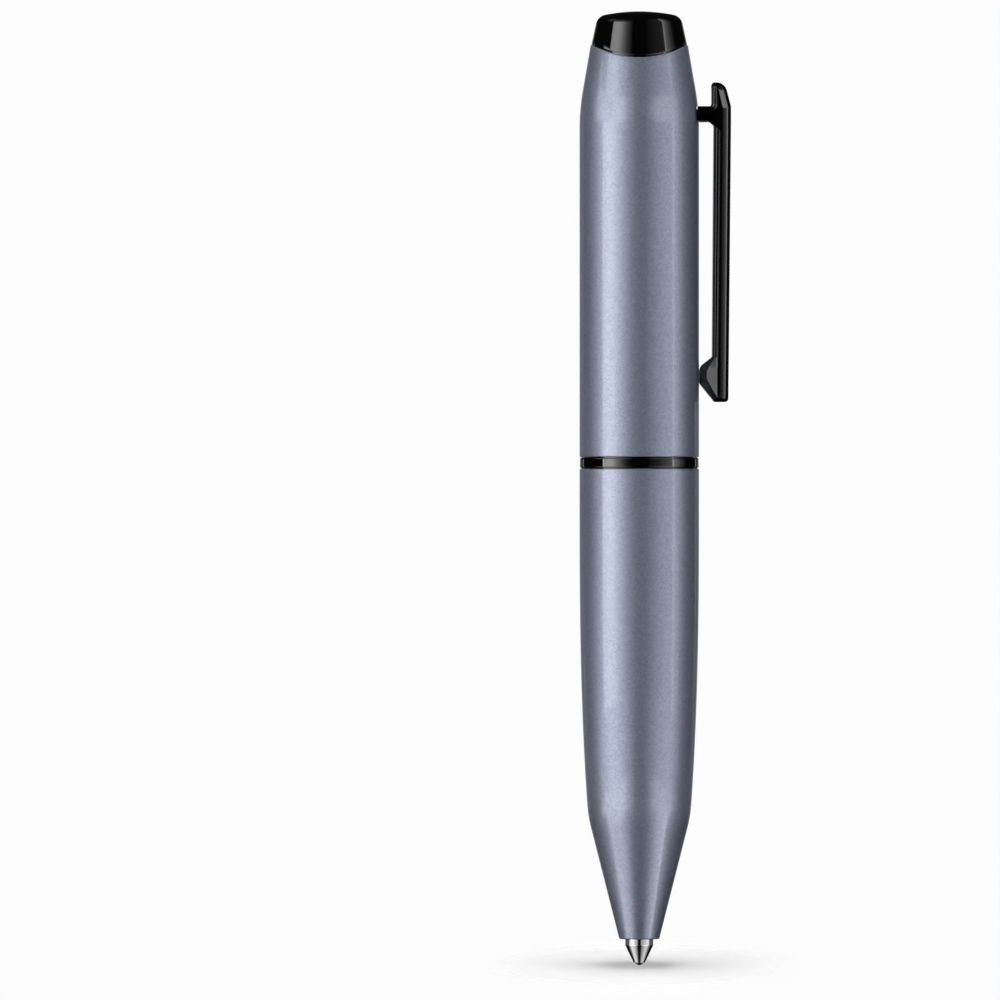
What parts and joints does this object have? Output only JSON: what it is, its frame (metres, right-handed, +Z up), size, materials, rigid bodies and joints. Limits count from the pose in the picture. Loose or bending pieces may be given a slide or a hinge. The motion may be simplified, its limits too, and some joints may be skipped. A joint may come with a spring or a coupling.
{
  "type": "ballpoint pen",
  "caption": "Short twist-action ballpoint pen with a tapered round barrel, black crown and centre ring, and a hinged black side clip.",
  "frame": {"origin": "lowest point of the writing ball, on the pen's axis, with the point out", "axes": "+Z up the pen's axis from the point to the crown, +X towards the clip"},
  "size_m": [0.0167, 0.0132, 0.1049],
  "materials": {
    "lacquer": "blue-grey metallic lacquer on brass, satin with a thin clear coat",
    "black_lacquer": "high gloss black lacquer on brass",
    "bright_point": "turned and polished nickel silver",
    "ball_metal": "ground tungsten carbide",
    "spring_steel": "bright drawn spring steel",
    "turned_brass": "turned, uncoated",
    "acetal": "moulded acetal",
    "rubber_ring": "moulded nitrile",
    "ink": "blue-black paste ink",
    "grease": "clear yellowish grease",
    "plug_plastic": "moulded polyethylene"
  },
  "bodies": {
    "front_barrel": {"front_barrel": "lacquer", "nose_bush": "acetal", "return_spring": "spring_steel", "centre_coupling": "turned_brass", "centre_ring": "black_lacquer", "guide_tube": "turned_brass", "thrust_washer": "acetal", "retaining_ring": "spring_steel", "friction_ring": "rubber_ring"},
    "rear_barrel": {"rear_barrel": "lacquer", "rear_bush": "acetal", "cam_sleeve": "acetal", "clip_block": "turned_brass", "clip_pin": "spring_steel", "clip_spring": "spring_steel", "crown": "black_lacquer", "crown_stud": "spring_steel"},
    "clip": {"clip": "black_lacquer"},
    "refill": {"refill_tube": "turned_brass", "point_body": "bright_point", "ink_column": "ink", "grease_plug": "grease", "refill_plug": "plug_plastic", "follower": "acetal", "cross_pin": "spring_steel"},
    "ball": {"writing_ball": "ball_metal"}
  },
  "joints": [
    {"name": "twist", "type": "hinge", "parent": "front_barrel", "child": "rear_barrel", "pos_m": [0, 0, 0.0592], "axis": [0, 0, 1], "range_deg": [0, 180]},
    {"name": "refill_slide", "type": "slide", "parent": "front_barrel", "child": "refill", "axis": [0, 0, 1], "range_m": [0, 0.0055], "deforming": ["return_spring"]},
    {"name": "clip_hinge", "type": "hinge", "parent": "rear_barrel", "child": "clip", "pos_m": [0.0034, 0, 0.0936], "axis": [0, -1, 0], "range_deg": [0, 6], "stiffness_Nm_per_rad": 0.3, "springref_deg": -2.86, "deforming": ["clip_spring"]},
    {"name": "ball_roll", "type": "hinge", "parent": "refill", "child": "ball", "pos_m": [0, 0, 0.0005], "axis": [1, 0, 0], "continuous": true}
  ],
  "couplings": [
    {"joint": "refill_slide", "follows": "twist", "m_per_rad": 0.0017507}
  ]
}
